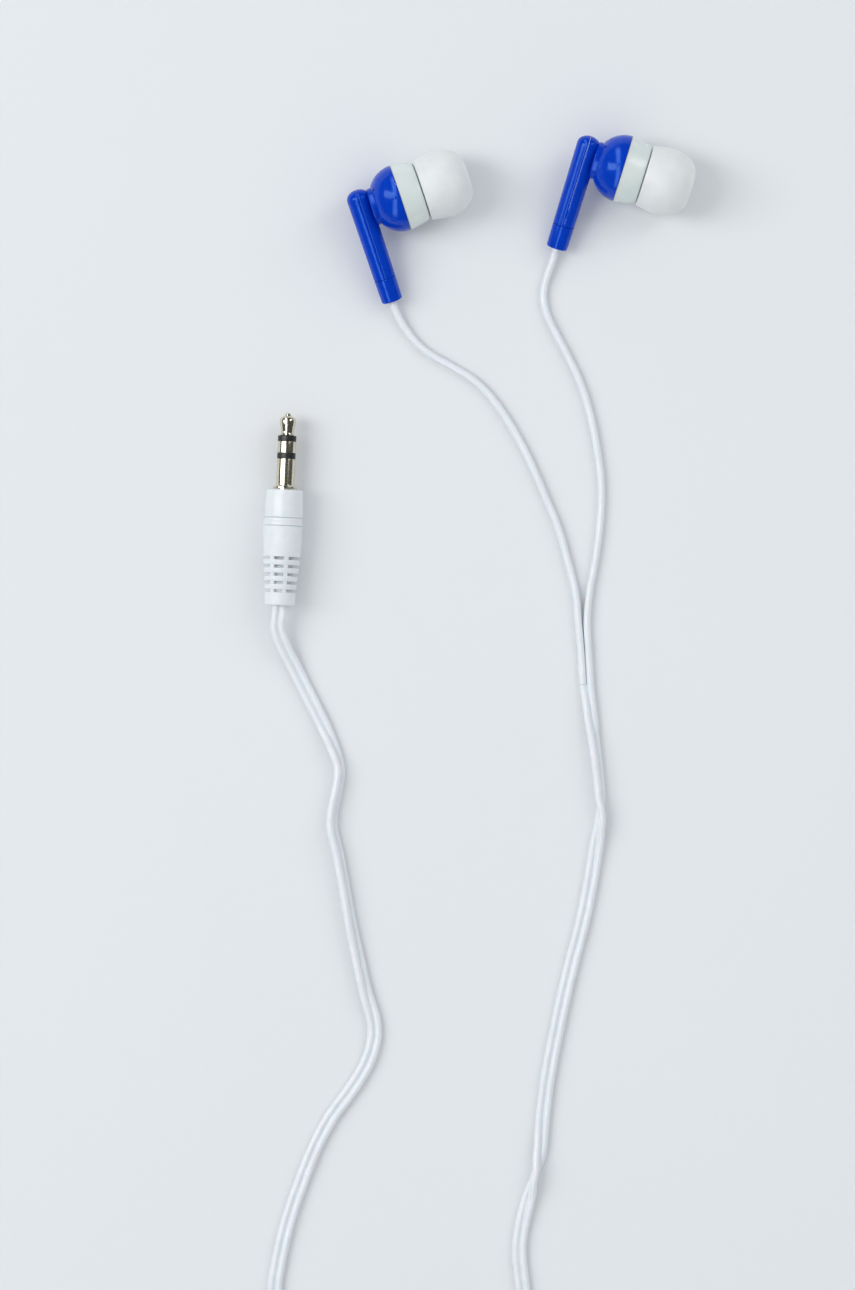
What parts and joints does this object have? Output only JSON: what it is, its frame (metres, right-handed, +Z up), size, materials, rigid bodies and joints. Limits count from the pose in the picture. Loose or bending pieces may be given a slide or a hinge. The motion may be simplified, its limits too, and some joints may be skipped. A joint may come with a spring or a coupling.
{
  "type": "wired earphones",
  "caption": "Wired in-ear earphones: stemmed blue earbuds with pale housings and silicone tips, a white twin cord with a coil of spare, and a straight 3.5 mm stereo plug.",
  "frame": {"origin": "centre of the two earbuds' footprint on the surface that they lie on, cord, coil and plug left out", "axes": "+X runs from the left earbud to the right one, +Y away from the cord's split, +Z up from the surface"},
  "size_m": [0.0823, 0.2621, 0.0128],
  "materials": {
    "blue_plastic": "glossy royal-blue moulded plastic",
    "pearl_plastic": "glossy pearl plastic with a faint mint tint, slightly translucent",
    "silicone": "soft off-white silicone",
    "white_plastic": "satin white plastic",
    "soft_white": "soft matt white overmould",
    "cord_skin": "soft white cord jacket with a dull sheen",
    "jack_metal": "polished pale-gold plating",
    "black_plastic": "black insulating plastic",
    "steel": "plain pressed steel",
    "magnet": "nickel-plated magnet",
    "copper": "enamelled copper wire",
    "film": "thin clear amber film",
    "foam": "dark open-cell foam and acoustic mesh",
    "board": "green printed board",
    "tie": "plain flat white plastic tie"
  },
  "bodies": {
    "earphones": {"left_rear_shell": "blue_plastic", "left_stem_cover": "blue_plastic", "left_stem_collar": "blue_plastic", "left_cord_grommet": "soft_white", "left_cord_knot": "cord_skin", "left_inner_wires": "copper", "left_vent_mesh": "foam", "left_front_housing": "pearl_plastic", "left_nozzle_mesh": "steel", "left_front_gasket": "foam", "left_driver_cover": "steel", "left_driver_frame": "white_plastic", "left_top_plate": "steel", "left_magnet": "magnet", "left_yoke": "steel", "left_terminal_board": "board", "right_rear_shell": "blue_plastic", "right_stem_cover": "blue_plastic", "right_stem_collar": "blue_plastic", "right_cord_grommet": "soft_white", "right_cord_knot": "cord_skin", "right_inner_wires": "copper", "right_vent_mesh": "foam", "right_front_housing": "pearl_plastic", "right_nozzle_mesh": "steel", "right_front_gasket": "foam", "right_driver_cover": "steel", "right_driver_frame": "white_plastic", "right_top_plate": "steel", "right_magnet": "magnet", "right_yoke": "steel", "right_terminal_board": "board", "jack_tip": "jack_metal", "jack_insulator_front": "black_plastic", "jack_ring": "jack_metal", "jack_insulator_rear": "black_plastic", "jack_sleeve": "jack_metal", "plug_shell": "white_plastic", "plug_band": "white_plastic", "plug_boot": "soft_white", "plug_ferrule": "steel", "cord_left": "cord_skin", "cord_right": "cord_skin", "cord_twin_upper": "cord_skin", "cord_twin_lower": "cord_skin", "cord_coil": "cord_skin", "coil_tie": "tie"},
    "left_tip": {"left_ear_tip": "silicone"},
    "left_cone": {"left_diaphragm": "film", "left_voice_coil": "copper"},
    "right_tip": {"right_ear_tip": "silicone"},
    "right_cone": {"right_diaphragm": "film", "right_voice_coil": "copper"}
  },
  "joints": [
    {"name": "left_tip_pull", "type": "slide", "parent": "earphones", "child": "left_tip", "axis": [0.9478, 0.319, 0], "range_m": [0, 0.009]},
    {"name": "left_cone_travel", "type": "slide", "parent": "earphones", "child": "left_cone", "axis": [0.9478, 0.319, 0], "range_m": [-0.00015, 0.00015], "stiffness_N_per_m": 8},
    {"name": "right_tip_pull", "type": "slide", "parent": "earphones", "child": "right_tip", "axis": [0.9553, -0.2957, 0], "range_m": [0, 0.009]},
    {"name": "right_cone_travel", "type": "slide", "parent": "earphones", "child": "right_cone", "axis": [0.9553, -0.2957, 0], "range_m": [-0.00015, 0.00015], "stiffness_N_per_m": 8}
  ]
}
